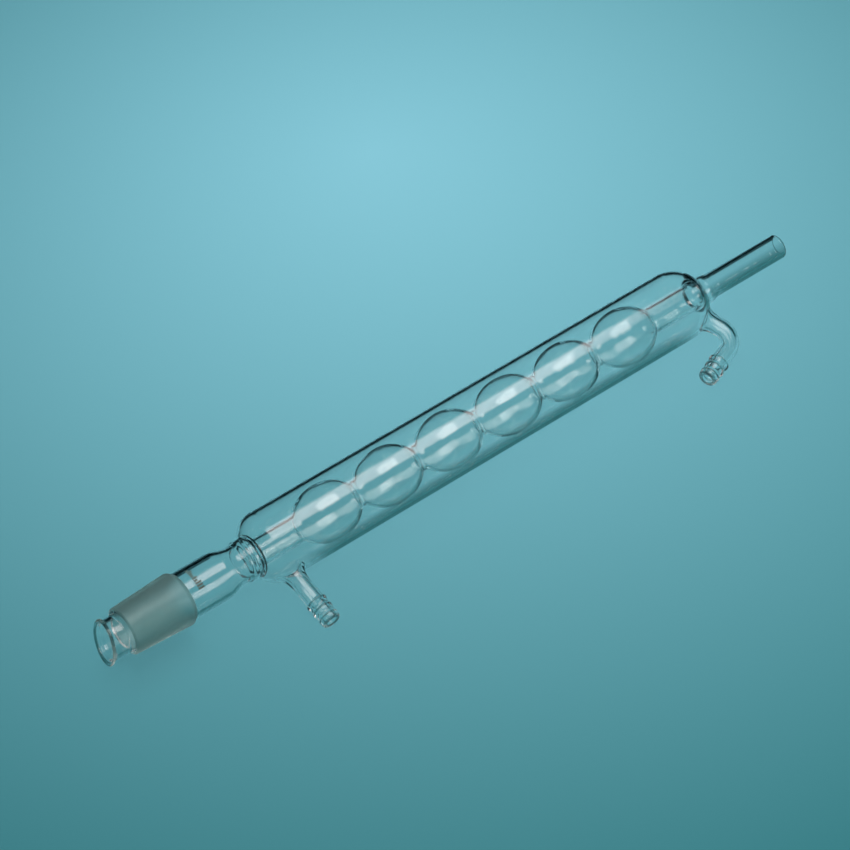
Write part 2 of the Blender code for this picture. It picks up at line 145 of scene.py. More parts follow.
# Enamel mark on the neck.
MARK_HEIGHT = 6.8
MARK_LENGTH = 2.8
MARK_FROM, MARK_TO = -119.0, -59.0  # degrees round the neck, from the arms' side
MARK_BARS = 9
MARK_LONG_BARS = 3  # the last bars have the full length
MARK_SHORT_SHARES = (0.45, 0.8, 0.6)  # the others are shorter, in turn
MARK_BAR_SHARE = 0.72  # a bar's width in its pitch
MARK_THICK = 0.04
MARK_LIFT = 0.005  # clear of the glass, so that the two surfaces don't coincide
MARK_STEP = 4  # degrees

# Looks of the glass.
GLASS_IOR = 1.47
CLEAR_TINT = (0.975, 0.995, 0.99, 1.0)
# Painted shade: rolled lips and crests get a darker tint, for the dark lines that glass shows
# there.
RIM_PAINTED_SHADE_TINT = (0.24, 0.38, 0.36, 1.0)  # rolled lips and crests look darker than the walls
GROUND_TINTS = (0.27, 0.46, 0.43, 1.0), (0.42, 0.60, 0.57, 1.0)
ENAMEL_TINTS = (0.045, 0.075, 0.06, 1.0), (0.12, 0.16, 0.13, 1.0)
CLEAR_SHARE = 0.993  # light that one surface lets through on its way to the floor
GROUND_SHARE = 0.9

SAME_POINT = 1e-6  # two points of an outline closer than this are one
HALVINGS = 40  # of a range, to find a surface in it

# Facets.
JACKET_STEPS = 128
TUBE_STEPS = 96
ARM_STEPS = 64
ROOT_POINTS = 20
MOUTH_POINTS = 14


# ---------------------------------------------------------------- outlines


def ellipse(radius, depth, height, up, stop_radius, count):
    """Points of a shoulder from its widest radius, at a height, in to stop_radius."""
    last = math.acos(stop_radius / radius)
    side = 1 if up else -1
    angles = [last * i / (count - 1) for i in range(count)]
    return [(radius * math.cos(a), height + side * depth * math.sin(a)) for a in angles]


def shoulder_direction(radius, depth, at_radius, up):
    """Direction of a shoulder's outline at a radius, going inwards."""
    angle = math.acos(at_radius / radius)
    across, along = radius * math.sin(angle), depth * math.cos(angle)
    size = math.hypot(across, along)
    return (-across / size, (along if up else -along) / size)


def curve(points, first=None, last=None, per_span=8):
    """A smooth outline through points. first and last are its directions at the two ends."""
    slopes = []
    for i, (r, z) in enumerate(points):
        before, after = points[max(i - 1, 0)], points[min(i + 1, len(points) - 1)]
        span = math.hypot(after[0] - before[0], after[1] - before[1])
        slopes.append(((after[0] - before[0]) / span, (after[1] - before[1]) / span))
    slopes[0] = first or slopes[0]
    slopes[-1] = last or slopes[-1]
    made = [points[0]]
    for i in range(len(points) - 1):
        a, b = points[i], points[i + 1]
        reach = math.hypot(b[0] - a[0], b[1] - a[1])
        for step in range(1, per_span + 1):
            t = step / per_span
            weights = (2 * t**3 - 3 * t**2 + 1, t**3 - 2 * t**2 + t,
                       3 * t**2 - 2 * t**3, t**3 - t**2)
            made.append(tuple(
                weights[0] * a[k] + weights[1] * reach * slopes[i][k]
                + weights[2] * b[k] + weights[3] * reach * slopes[i + 1][k]
                for k in (0, 1)
            ))
    return made


def arc(radius, height, size, start, end, count=12):
    """A round stretch about (radius, height), between two angles in degrees from outwards."""
    angles = [math.radians(start + (end - start) * i / (count - 1)) for i in range(count)]
    return [(radius + size * math.cos(a), height + size * math.sin(a)) for a in angles]


def joined(*runs):
    """Several stretches of one kind as a single stretch, without repeated points."""
    points = []
    for run in runs:
        for point in run:
            if not points or math.dist(point, points[-1]) > SAME_POINT:
                points.append(point)
    return points


def bulb_radius(height):
    """Outer radius at a height from a bulb's middle: an ellipsoid that blends into the stem."""
    inside = max(0.0, 1.0 - (height / BULB_HALF) ** 2)
    return ((BULB * math.sqrt(inside)) ** BLEND_POWER + INNER**BLEND_POWER) ** (1 / BLEND_POWER)


def bulb_outline(middle):
    """One bulb from waist to waist. The wall is thinner where the glass was blown widest."""
    half = BULB_PITCH / 2
    step = 0.01
    outer, inner = [], []
    for i in range(BULB_POINTS + 1):
        height = half * math.sin(math.pi * (i / BULB_POINTS - 0.5))
        slope = (bulb_radius(height + step) - bulb_radius(height - step)) / (2 * step)
        radius = bulb_radius(height)
        wide = (radius - INNER) / (BULB - INNER)
        wall = (INNER - INNER_BORE) * (1 - wide) + BULB_WALL * wide
        shift = wall / math.hypot(1.0, slope)
        outer.append((radius, middle + height))
        inner.append((radius - shift, middle + height + slope * shift))
    return outer, inner


# ---------------------------------------------------------------- meshes


def link_piece(name, mesh):
    """A new object for a mesh, in the scene."""
    piece = bpy.data.objects.new(name, mesh)
    bpy.context.scene.collection.objects.link(piece)
    return piece


def grid_piece(name, columns, kinds):
    """A closed ring-shaped mesh. columns holds one outline of points per step round the axis."""
    bm = bmesh.new()
    rows = [[bm.verts.new(Vector(p) * MM) for p in column] for column in columns]
    names = sorted(set(kinds), key=("glass", "blown", "rim", "ground", "seam").index)
    for k, column in enumerate(rows):
        beside = rows[(k + 1) % len(rows)]
        for i, kind in enumerate(kinds):
            j = (i + 1) % len(kinds)
            face = bm.faces.new((column[i], column[j], beside[j], beside[i]))
            face.smooth = True
            face.material_index = names.index(kind)
    bmesh.ops.recalc_face_normals(bm, faces=bm.faces)
    for edge in bm.edges:
        if len({face.material_index for face in edge.link_faces}) > 1:
            edge.smooth = False
    mesh = bpy.data.meshes.new(name)
    bm.to_mesh(mesh)
    bm.free()
    for kind in names:
        mesh.materials.append(finishes[kind])
    return link_piece(name, mesh)


def loop_of(runs):
    """The points and kinds of a closed outline given as (kind, points) stretches end to end."""
    points, kinds = [], []
    for kind, run in runs:
        points += run[:-1]
        kinds += [kind] * (len(run) - 1)
    return points, kinds


def revolved(name, runs, steps, place=None):
    """A turned piece. place is a matrix in millimetres, from its own axis to the condenser's."""
    points, kinds = loop_of(runs)
    columns = []
    for k in range(steps):
        angle = 2 * math.pi * k / steps
        along = (math.cos(angle), math.sin(angle))
        column = [Vector((r * along[0], r * along[1], z)) for r, z in points]
        columns.append([place @ p for p in column] if place else column)
    return grid_piece(name, columns, kinds)


def walled(outer, inner, kind="glass"):
    """A wall open to a fused seam at both ends, from two outlines given bottom to top."""
    return [
        (kind, outer),
        ("seam", [outer[-1], inner[-1]]),
        ("blown" if kind == "blown" else "glass", inner[::-1]),
        ("seam", [inner[0], outer[0]]),
    ]


def settle(piece, node):
    """Put a finished piece in the world, in place of its CAD node if it has one."""
    piece.data.transform(condenser)
    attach(piece, "root")
    if node:
        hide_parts(node)


def condenser_matrix():
    """From the condenser's own frame to the world, read off the CAD sections."""
    cone_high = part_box("ground_cone")[1]
    low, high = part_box("jacket_tube")
    reach, tip = INLET_REACH * MM, HOSE_TIP * MM
    droop = math.asin(JACKET * MM / math.hypot(reach, tip)) - math.atan2(tip, reach)
    arms = Vector((0.0, -math.cos(droop), -math.sin(droop)))
    along = Vector((1.0, 0.0, 0.0))
    turn = Matrix((arms, along.cross(arms), along)).transposed().to_4x4()
    middle = (low + high) / 2
    return Matrix.Translation((cone_high.x - CONE_TOP * MM, middle.y, middle.z)) @ turn


# ---------------------------------------------------------------- materials


def new_material(name):
    """A material with its node tree and its Principled BSDF."""
    mat = bpy.data.materials.new(name)
    mat.use_nodes = True
    tree = mat.node_tree
    return mat, tree, tree.nodes["Principled BSDF"]


def noise(tree, scale, stretch=(1, 1, 1), detail=2.0):
    """A noise texture in the world, where the glass lies along X. stretch is its X, Y, Z scale."""
    place = tree.nodes.new("ShaderNodeTexCoord")
    mapping = tree.nodes.new("ShaderNodeMapping")
    mapping.inputs["Scale"].default_value = stretch
    texture = tree.nodes.new("ShaderNodeTexNoise")
    texture.inputs["Scale"].default_value = scale
    texture.inputs["Detail"].default_value = detail
    tree.links.new(place.outputs["Object"], mapping.inputs["Vector"])
    tree.links.new(mapping.outputs["Vector"], texture.inputs["Vector"])
    return texture.outputs["Fac"]


def ranged(tree, value, low, high):
    """A 0 to 1 value spread from low to high."""
    span = tree.nodes.new("ShaderNodeMapRange")
    span.inputs["To Min"].default_value = low
    span.inputs["To Max"].default_value = high
    tree.links.new(value, span.inputs["Value"])
    return span.outputs["Result"]


def bumped(tree, value, distance, strength=1.0, under=None):
    """A bump from a height value, on top of another one if it is given."""
    bump = tree.nodes.new("ShaderNodeBump")
    bump.inputs["Distance"].default_value = distance
    bump.inputs["Strength"].default_value = strength
    tree.links.new(value, bump.inputs["Height"])
    if under:
        tree.links.new(under, bump.inputs["Normal"])
    return bump.outputs["Normal"]


def let_light_through(tree, shader, share):
    """Light passes glass almost unhindered on its way to or from a dull surface."""
    path = tree.nodes.new("ShaderNodeLightPath")
    either = tree.nodes.new("ShaderNodeMath")
    either.operation = "MAXIMUM"
    tree.links.new(path.outputs["Is Shadow Ray"], either.inputs[0])
    tree.links.new(path.outputs["Is Diffuse Ray"], either.inputs[1])
    clear = tree.nodes.new("ShaderNodeBsdfTransparent")
    clear.inputs["Color"].default_value = (share, share, share, 1.0)
    mix = tree.nodes.new("ShaderNodeMixShader")
    tree.links.new(either.outputs[0], mix.inputs[0])
    tree.links.new(shader.outputs[0], mix.inputs[1])
    tree.links.new(clear.outputs[0], mix.inputs[2])
    tree.links.new(mix.outputs[0], tree.nodes["Material Output"].inputs["Surface"])


def mixed_tint(tree, tints, value):
    """A colour between two tints, by a 0 to 1 value."""
    tint = tree.nodes.new("ShaderNodeMix")
    tint.data_type = "RGBA"
    tint.inputs["A"].default_value, tint.inputs["B"].default_value = tints
    tree.links.new(value, tint.inputs["Factor"])
    return tint.outputs["Result"]


def clear_glass(name, colour=CLEAR_TINT, blown=False):
    """Borosilicate glass. A drawn tube has faint waves, a blown bulb deeper and broader ones."""
    mat, tree, shader = new_material(name)
    shader.inputs["Base Color"].default_value = colour
    shader.inputs["IOR"].default_value = GLASS_IOR
    shader.inputs["Transmission Weight"].default_value = 1.0
    smears = ranged(tree, noise(tree, 60.0, (1, 1, 0.4), 3.0), 0.0, 0.012)
    tree.links.new(smears, shader.inputs["Roughness"])
    if blown:
        waves, depth = noise(tree, 95.0, (1, 1, 0.75), 1.0), 0.0006
    else:
        waves, depth = noise(tree, 140.0, (1, 1, 0.12), 1.0), 0.00003
    tree.links.new(bumped(tree, waves, depth), shader.inputs["Normal"])
    let_light_through(tree, shader, CLEAR_SHARE)
    return mat


def ground_glass():
    """The ground taper: fine pits, faint streaks and a milky scatter."""
    mat, tree, shader = new_material("ground_glass")
    shader.inputs["IOR"].default_value = GLASS_IOR
    shader.inputs["Transmission Weight"].default_value = 0.86
    tint = mixed_tint(tree, GROUND_TINTS, noise(tree, 220.0, (1, 1, 1.6), 4.0))
    tree.links.new(tint, shader.inputs["Base Color"])
    tree.links.new(ranged(tree, noise(tree, 900.0), 0.42, 0.58), shader.inputs["Roughness"])
    streaks = bumped(tree, noise(tree, 300.0, (0.2, 0.2, 14.0), 2.0), 0.00002, 0.5)
    pits = bumped(tree, noise(tree, 5200.0, detail=3.0), 0.00001, 0.6, streaks)
    tree.links.new(pits, shader.inputs["Normal"])
    let_light_through(tree, shader, GROUND_SHARE)
    return mat


def fused_seam():
    """The touching faces of two sections, which can't be seen on one piece of glass."""
    mat, _, shader = new_material("fused_seam")
    shader.inputs["Alpha"].default_value = 0.0
    return mat


def fired_enamel():
    """Dull grey-green print, speckled where the enamel lies thin."""
    mat, tree, shader = new_material("fired_enamel")
    speckle = mixed_tint(tree, ENAMEL_TINTS, noise(tree, 2600.0, detail=3.0))
    tree.links.new(speckle, shader.inputs["Base Color"])
    tree.links.new(ranged(tree, noise(tree, 900.0), 0.35, 0.6), shader.inputs["Roughness"])
    return mat


finishes = {
    "glass": clear_glass("clear_glass"),
    "blown": clear_glass("blown_glass", blown=True),
    # The rim finish is clear glass with a darker tint: painted shade.
    "rim": clear_glass("rim_painted_shade_glass", RIM_PAINTED_SHADE_TINT),
    "ground": ground_glass(),
    "seam": fused_seam(),
}
condenser = condenser_matrix()


# ---------------------------------------------------------------- turned sections


def make_drip_tip():
    lip = DRIP_LIP_HALF
    middle = DRIP_LIP - lip
    height = DRIP_MOUTH + lip
    rolled = joined(
        arc(middle, height, lip, DRIP_FLARE, -90),
        arc(middle, height, lip, -90, -180),
    )
    outer = joined(
        curve([rolled[0], (8.85, -36.2), (DRIP_RADIUS, DRIP_TUBE_FROM)], (-0.6, 0.8), (0, 1)),
        curve([(DRIP_RADIUS, DRIP_TUBE_FROM), (DRIP_RADIUS, DRIP_TUBE_TO)], (0, 1), (0, 1), 4),
    )
    per_span = 8
    shoulder = curve([(DRIP_RADIUS, DRIP_TUBE_TO), (8.95, -29.2), (9.8, -28.45),
                      (10.42, -27.85), (CONE_NARROW, GROUND_FROM)], (0, 1), (0.15, 1), per_span)
    ground_from = 2 * per_span  # the grinding runs over the upper half of the shoulder
    inner = joined(
        curve([(middle - lip, height), (7.45, -36.2), (DRIP_BORE, DRIP_BORE_FROM)],
              (0, 1), (0, 1)),
        curve([(DRIP_BORE, DRIP_BORE_FROM), (DRIP_BORE, DRIP_BORE_TO)], (0, 1), (0, 1), 4),
        curve([(DRIP_BORE, DRIP_BORE_TO), (7.4, -29.4), (8.2, -28.2), (CONE_BORE, GROUND_FROM)],
              (0, 1), (0, 1)),
    )
    runs = [
        ("ground", shoulder[ground_from:][::-1]),
        ("glass", joined(shoulder[:ground_from + 1][::-1], outer[::-1])),
        # The rolled lip carries painted shade, a darker tint.
        ("rim", rolled),
        ("glass", inner),
        ("seam", [inner[-1], shoulder[-1]]),
    ]
    piece = revolved("drip_tip_glass", runs, TUBE_STEPS)
    slant_mouth(piece.data)
    settle(piece, "drip_tip")


def slant_mouth(mesh):
    """The mouth leans, and the lean fades out along the tip."""
    along = Vector((math.cos(DRIP_LONG_SIDE), math.sin(DRIP_LONG_SIDE), 0.0))
    full_below, none_above = SLANT_FULL * MM, SLANT_NONE * MM
    for vert in mesh.vertices:
        share = (none_above - vert.co.z) / (none_above - full_below)
        share = min(max(share, 0.0), 1.0)
        share = share * share * (3 - 2 * share)
        vert.co.z -= share * DRIP_SLANT * vert.co.dot(along)


def make_ground_cone():
    steps = 4
    heights = [GROUND_FROM + (GROUND_TO - GROUND_FROM) * i / steps for i in range(steps + 1)]
    taper = [(CONE_WIDE + CONE_SLOPE * z, z) for z in heights]
    bevel = curve([taper[-1], (11.86, -0.55), (11.4, 0.3), (10.75, 1.05), (NECK_RADIUS, CONE_TOP)],
                  (CONE_SLOPE, 1), (-0.2, 1))
    inner = [(CONE_BORE, GROUND_FROM), (NECK_BORE, CONE_TOP)]
    runs = walled(joined(taper, bevel), inner, "ground")
    settle(revolved("ground_cone_glass", runs, TUBE_STEPS), "ground_cone")


def make_neck():
    low, straight = CONE_TOP, NECK_STRAIGHT_TO
    outer = joined(
        [(NECK_RADIUS, low), (NECK_RADIUS, straight)],
        curve([(NECK_RADIUS, straight), (NECK_RADIUS, 18.2), (10.25, 20.9), (9.35, 24.0),
               (8.62, 27.0), (WAIST_RADIUS, 28.8), (WAIST_RADIUS, NECK_TOP)], (0, 1), (0, 1)),
    )
    inner = joined(
        [(NECK_BORE, low), (NECK_BORE, straight)],
        curve([(NECK_BORE, straight), (NECK_BORE, 18.2), (8.5, 20.9), (7.65, 24.0),
               (6.97, 27.0), (WAIST_BORE, 28.8), (WAIST_BORE, NECK_TOP)], (0, 1), (0, 1)),
    )
    settle(revolved("cone_neck_glass", walled(outer, inner), TUBE_STEPS), "cone_neck")


def neck_patch(bm, height, length, start, end):
    """A thin closed patch of enamel on the neck, between two angles in degrees."""
    steps = max(2, round(abs(end - start) / MARK_STEP))
    rings = []
    for i in range(steps + 1):
        angle = math.radians(start + (end - start) * i / steps)
        way = Vector((math.cos(angle), math.sin(angle), 0.0))
        ring = []
        for rise, far in ((0.0, 0), (0.0, 1), (MARK_THICK, 1), (MARK_THICK, 0)):
            out = way * (NECK_RADIUS + MARK_LIFT + rise)
            ring.append(bm.verts.new((out + Vector((0, 0, height + length * far))) * MM))
        rings.append(ring)
    bm.faces.new(rings[0])
    bm.faces.new(rings[-1][::-1])
    for a, b in zip(rings, rings[1:]):
        for j in range(4):
            k = (j + 1) % 4
            bm.faces.new((a[j], b[j], b[k], a[k]))


def make_enamel_mark():
    """A fired mark of plain bars, longer and shorter in turn. It spells nothing."""
    bm = bmesh.new()
    pitch = (MARK_TO - MARK_FROM) / MARK_BARS
    for i in range(MARK_BARS):
        start = MARK_FROM + pitch * i
        short = i < MARK_BARS - MARK_LONG_BARS
        share = MARK_SHORT_SHARES[i % len(MARK_SHORT_SHARES)] if short else 1.0
        end = start + pitch * MARK_BAR_SHARE
        neck_patch(bm, MARK_HEIGHT - MARK_LENGTH / 2, MARK_LENGTH * share, start, end)
    bmesh.ops.recalc_face_normals(bm, faces=bm.faces)
    mesh = bpy.data.meshes.new("enamel_mark")
    bm.to_mesh(mesh)
    bm.free()
    mesh.materials.append(fired_enamel())
    settle(link_piece("enamel_mark", mesh), None)


def on_shoulder(radius, depth, height, at_radius, up):
    """Point of a shoulder at a radius. height is where the shoulder starts."""
    angle = math.acos(at_radius / radius)
    return (at_radius, height + (depth if up else -depth) * math.sin(angle))


def make_lower_ring_seal():
    outside = on_shoulder(JACKET, LOWER_DEPTH, STRAIGHT_FROM, LOWER_SEAM, False)
    inside = on_shoulder(JACKET_BORE, LOWER_DEPTH - JACKET_WALL, STRAIGHT_FROM, LOWER_SEAM, False)
    out_way = shoulder_direction(JACKET, LOWER_DEPTH, LOWER_SEAM, False)
    in_way = shoulder_direction(JACKET_BORE, LOWER_DEPTH - JACKET_WALL, LOWER_SEAM, False)
    waist = curve([(WAIST_RADIUS, NECK_TOP), (8.72, 30.3), (9.2, 31.4), (9.05, 32.4),
                   (9.2, 33.4), (9.18, 34.7), outside], (0, 1), (-out_way[0], -out_way[1]))
    bead = curve([inside, (9.25, 37.4), (9.2, 37.85), (8.85, 38.35), (8.0, 38.7), (6.95, 38.9),
                  (6.25, 39.15), (INNER, LOWER_SEAL_TOP)], in_way, (0, 1))
    bore = curve([(INNER_BORE, LOWER_SEAL_TOP), (5.0, 38.9), (5.9, 38.0), (7.0, 37.3),
                  (7.7, 36.3), (7.85, 35.0), (7.6, 33.3), (7.15, 31.5), (6.85, 30.2),
                  (WAIST_BORE, NECK_TOP)], (0, -1), (0, -1))
    runs = [
        ("glass", waist),
        ("seam", [outside, inside]),
        ("glass", bead),
        ("seam", [bead[-1], bore[0]]),
        ("glass", bore),
        ("seam", [bore[-1], waist[0]]),
    ]
    settle(revolved("lower_ring_seal_glass", runs, TUBE_STEPS), "lower_ring_seal")


def make_upper_ring_seal():
    outside = on_shoulder(JACKET, UPPER_DEPTH, STRAIGHT_TO, UPPER_SEAM, True)
    inside = on_shoulder(JACKET_BORE, UPPER_DEPTH - JACKET_WALL, STRAIGHT_TO, UPPER_SEAM, True)
    out_way = shoulder_direction(JACKET, UPPER_DEPTH, UPPER_SEAM, True)
    in_way = shoulder_direction(JACKET_BORE, UPPER_DEPTH - JACKET_WALL, UPPER_SEAM, True)
    collar = curve([outside, (7.75, 279.95), (7.15, 280.55), (6.78, 281.35),
                    (VAPOUR_BASE, UPPER_SEAL_TOP)], out_way, (0, 1))
    trumpet = curve([inside, (8.2, 277.76), (7.85, 277.35), (7.3, 276.6), (6.55, 275.8),
                     (6.12, 275.1), (INNER, UPPER_SEAL_BASE)], in_way, (0, -1))
    bore = curve([(INNER_BORE, UPPER_SEAL_BASE), (4.95, 275.6), (5.5, 276.9), (5.9, 278.2),
                  (5.75, 279.7), (5.3, 281.1), (VAPOUR_BASE - VAPOUR_WALL, UPPER_SEAL_TOP)],
                 (0, 1), (0, 1))
    runs = [
        ("glass", collar),
        ("seam", [collar[-1], bore[-1]]),
        ("glass", bore[::-1]),
        ("seam", [bore[0], trumpet[-1]]),
        ("glass", trumpet[::-1]),
        ("seam", [trumpet[0], outside]),
    ]
    settle(revolved("upper_ring_seal_glass", runs, TUBE_STEPS), "upper_ring_seal")


def make_inner_tube():
    half = BULB_PITCH / 2
    last = FIRST_BULB + (BULB_COUNT - 1) * BULB_PITCH
    stems = {
        "lower_inner_stem": (LOWER_SEAL_TOP, FIRST_BULB - half),
        "upper_inner_stem": (last + half, UPPER_SEAL_BASE),
    }
    for name, (low, high) in stems.items():
        runs = walled([(INNER, low), (INNER, high)], [(INNER_BORE, low), (INNER_BORE, high)])
        settle(revolved(name + "_glass", runs, TUBE_STEPS), name)
    for i in range(BULB_COUNT):
        outer, inner = bulb_outline(FIRST_BULB + i * BULB_PITCH)
        runs = walled(outer, inner, "blown")
        settle(revolved(f"bulb_{i + 1}_glass", runs, TUBE_STEPS), f"bulb_{i + 1}")


def make_vapour_tube():
    rim = VAPOUR_WALL / 2
    middle = VAPOUR - rim
    step = [(VAPOUR_BASE, UPPER_SEAL_TOP), (VAPOUR_BASE, 283.7), (6.3, 285.2), (5.78, 287.2),
            (VAPOUR, VAPOUR_STEP_TO)]
    top = VAPOUR_TOP - rim
    bore = VAPOUR - VAPOUR_WALL
    outer = joined(curve(step, (0, 1), (0, 1)), [(VAPOUR, VAPOUR_STEP_TO), (VAPOUR, top)])
    inner = joined(curve([(r - VAPOUR_WALL, z) for r, z in step], (0, 1), (0, 1)),
                   [(bore, VAPOUR_STEP_TO), (bore, top)])
    runs = [
        ("glass", outer),
        ("glass", arc(middle, top, rim, 0, VAPOUR_SHADE_FROM, 4)),
        # The top of the rolled end carries painted shade, a darker tint.
        ("rim", arc(middle, top, rim, VAPOUR_SHADE_FROM, VAPOUR_SHADE_TO, 14)),
        ("glass", arc(middle, top, rim, VAPOUR_SHADE_TO, 180, 4)),
        ("glass", inner[::-1]),
        ("seam", [inner[0], outer[0]]),
    ]
    settle(revolved("vapour_outlet_tube_glass", runs, TUBE_STEPS), "vapour_outlet_tube")


# ---------------------------------------------------------------- jacket


def jacket_radius(height, inner):
    """Radius of the jacket's outer or inner surface at a height along the glass."""
    wide = JACKET_BORE if inner else JACKET
    wall = JACKET_WALL if inner else 0.0
    if height < STRAIGHT_FROM:
        share = (STRAIGHT_FROM - height) / (LOWER_DEPTH - wall)
    else:
        share = max(0.0, height - STRAIGHT_TO) / (UPPER_DEPTH - wall)
    return wide * math.sqrt(max(0.0, 1.0 - share * share))


def jacket_normal(point, inner):
    """Outward direction of the jacket's glass at a point on one of its two surfaces."""
    wide = JACKET_BORE if inner else JACKET
    wall = JACKET_WALL if inner else 0.0
    lean = 0.0
    if point.z < STRAIGHT_FROM:
        lean = (point.z - STRAIGHT_FROM) / (LOWER_DEPTH - wall) ** 2
    elif point.z > STRAIGHT_TO:
        lean = (point.z - STRAIGHT_TO) / (UPPER_DEPTH - wall) ** 2
    normal = Vector((point.x / wide**2, point.y / wide**2, lean)).normalized()
    return -normal if inner else normal


def set_jacket_normals(piece):
    """Exact normals, so that the holes cut for the arms leave no mark in the shading."""
    mesh = piece.data
    normals = []
    for face in mesh.polygons:
        for index in face.vertices:
            point = mesh.vertices[index].co / MM
            if piece.material_slots[face.material_index].name == "fused_seam":
                normals.append(face.normal.copy())
                continue
            outer_gap = abs(math.hypot(point.x, point.y) - jacket_radius(point.z, False))
            inner_gap = abs(math.hypot(point.x, point.y) - jacket_radius(point.z, True))
            normals.append(jacket_normal(point, inner_gap < outer_gap))
    mesh.normals_split_custom_set(normals)


def cut_port(piece, start, direction, radius):
    """Open a round port in the jacket where an arm is fused on. Its edge is a fused seam."""
    reach = 20 * MM
    bpy.ops.mesh.primitive_cylinder_add(vertices=ARM_STEPS, radius=radius * MM, depth=reach)
    cutter = bpy.context.active_object
    cutter.data.materials.append(finishes["seam"])
    turn = Vector((0, 0, 1)).rotation_difference(direction).to_matrix().to_4x4()
    cutter.matrix_world = Matrix.Translation(start * MM) @ turn
    boolean = piece.modifiers.new("Port", "BOOLEAN")
    boolean.operation = "DIFFERENCE"
    boolean.solver = "EXACT"
    boolean.material_mode = "TRANSFER"
    boolean.object = cutter
    bpy.context.view_layer.update()
    evaluated = piece.evaluated_get(bpy.context.evaluated_depsgraph_get())
    mesh = bpy.data.meshes.new_from_object(evaluated)
    piece.modifiers.clear()
    piece.data = mesh
    bpy.data.objects.remove(cutter, do_unlink=True)


def shoulder_outlines(levels, depth, height, up, seam):
    """Outer and inner outline of a shoulder section, from its cut face to its ring seal."""
    outer = [(JACKET, z) for z in levels]
    outer += ellipse(JACKET, depth, height, up, seam, SHOULDER_POINTS)
    inner = [(JACKET_BORE, z) for z in levels]
    inner += ellipse(JACKET_BORE, depth - JACKET_WALL, height, up, seam, SHOULDER_POINTS)
    return outer, inner


def finish_shoulder(node, runs, port, direction, port_radius):
    """A shoulder section with its port, where an arm leaves it."""
    piece = revolved(node + "_glass", runs, JACKET_STEPS)
    cut_port(piece, port, direction, port_radius)
    set_jacket_normals(piece)
    settle(piece, node)


def make_jacket():
    levels = [LOWER_CUT, *LOWER_RINGS]
    outer, inner = shoulder_outlines(levels, LOWER_DEPTH, STRAIGHT_FROM, False, LOWER_SEAM)
    runs = walled(outer[::-1], inner[::-1])
    port = Vector((JACKET, 0, INLET_HEIGHT))
    finish_shoulder("jacket_lower_shoulder", runs, port, Vector((1, 0, 0)), INLET_FOOT[0])

    rise = UPPER_CUT - LOWER_CUT
    heights = [LOWER_CUT + rise * i / TUBE_RINGS for i in range(TUBE_RINGS + 1)]
    runs = walled([(JACKET, z) for z in heights], [(JACKET_BORE, z) for z in heights])
    settle(revolved("jacket_tube_glass", runs, JACKET_STEPS), "jacket_tube")

    levels = [UPPER_CUT, *UPPER_RINGS]
    outer, inner = shoulder_outlines(levels, UPPER_DEPTH, STRAIGHT_TO, True, UPPER_SEAM)
    port = Vector((JACKET, 0, OUTLET_HEIGHT))
    first, _ = outlet_directions()
    finish_shoulder("jacket_upper_shoulder", walled(outer, inner), port, first, OUTLET_FOOT[0])


# ---------------------------------------------------------------- arms


def outlet_directions():
    """Unit vectors of the outlet arm's first and last stretch."""
    rise = OUTLET_RISE
    first = Vector((math.cos(rise), 0.0, math.sin(rise)))
    last = Vector((math.sin(rise), 0.0, -math.cos(rise)))
    return first, last


def jacket_distance(base, direction, inner):
    """How far along a direction from base the jacket's surface is crossed on the way out."""
    low, high = -9.0, 6.0  # always inside and always outside the jacket
    for _ in range(HALVINGS):
        middle = (low + high) / 2
        point = base + direction * middle
        if math.hypot(point.x, point.y) < jacket_radius(point.z, inner):
            low = middle
        else:
            high = middle
    return (low + high) / 2


def foot_profile(foot, tube, length, count):
    """(radius, height) pairs of a root's sweep from the jacket's surface up to the tube."""
    angles = [math.pi / 2 * i / (count - 1) for i in range(count)]
    sweep = foot - tube
    return [(foot - sweep * math.sin(a), length * (1 - math.cos(a))) for a in angles]


def arm_column(start, direction, across, foot):
    """Outer and inner outline of an arm's root, in the plane of its middle line and across."""
    wide, length = foot
    outside, inside = [], []
    for radius, height in foot_profile(wide, ARM, length, ROOT_POINTS):
        base = start + across * radius
        outside.append(base + direction * (jacket_distance(base, direction, False) + height))
    mouth = wide - ROOT_WALL
    for i in range(MOUTH_POINTS):
        base = start + across * (wide + (mouth - wide) * i / MOUTH_POINTS)
        inside.append(base + direction * jacket_distance(base, direction, True))
    for radius, height in foot_profile(mouth, ARM_BORE, length - ROOT_WALL, MOUTH_POINTS + 1):
        base = start + across * radius
        inside.append(base + direction * (jacket_distance(base, direction, True) + height))
    return outside, inside


def make_arm(node, start, direction, foot, sections):
    """An arm fused on the jacket. sections are (centre, across, side) frames past the root."""
    columns = []
    for k in range(ARM_STEPS):
        angle = 2 * math.pi * k / ARM_STEPS
        cos, sin = math.cos(angle), math.sin(angle)
        _, across, side = sections[0]
        outside, inside = arm_column(start, direction, across * cos + side * sin, foot)
        outer = [centre + (a * cos + s * sin) * ARM for centre, a, s in sections]
        bore = [centre + (a * cos + s * sin) * ARM_BORE for centre, a, s in sections]
        columns.append(outer[::-1] + outside[::-1] + inside + bore)
    outer_faces = len(sections) + ROOT_POINTS - 1
    inner_faces = len(sections) + 2 * MOUTH_POINTS
    kinds = ["glass"] * outer_faces + ["seam"] + ["glass"] * inner_faces + ["seam"]
    settle(grid_piece(node + "_glass", columns, kinds), node)


def make_inlet_arm():
    start = Vector((JACKET, 0, INLET_HEIGHT))
    direction = Vector((1, 0, 0))
    low, high = JACKET + INLET_FOOT[1] + ROOT_CLEAR, INLET_REACH - HOSE_END
    sections = []
    spans = 5
    for i in range(spans + 1):
        place = Vector((low + (high - low) * i / spans, 0, INLET_HEIGHT))
        sections.append((place, Vector((0, 0, 1)), Vector((0, 1, 0))))
    make_arm("water_inlet_arm", start, direction, INLET_FOOT, sections)


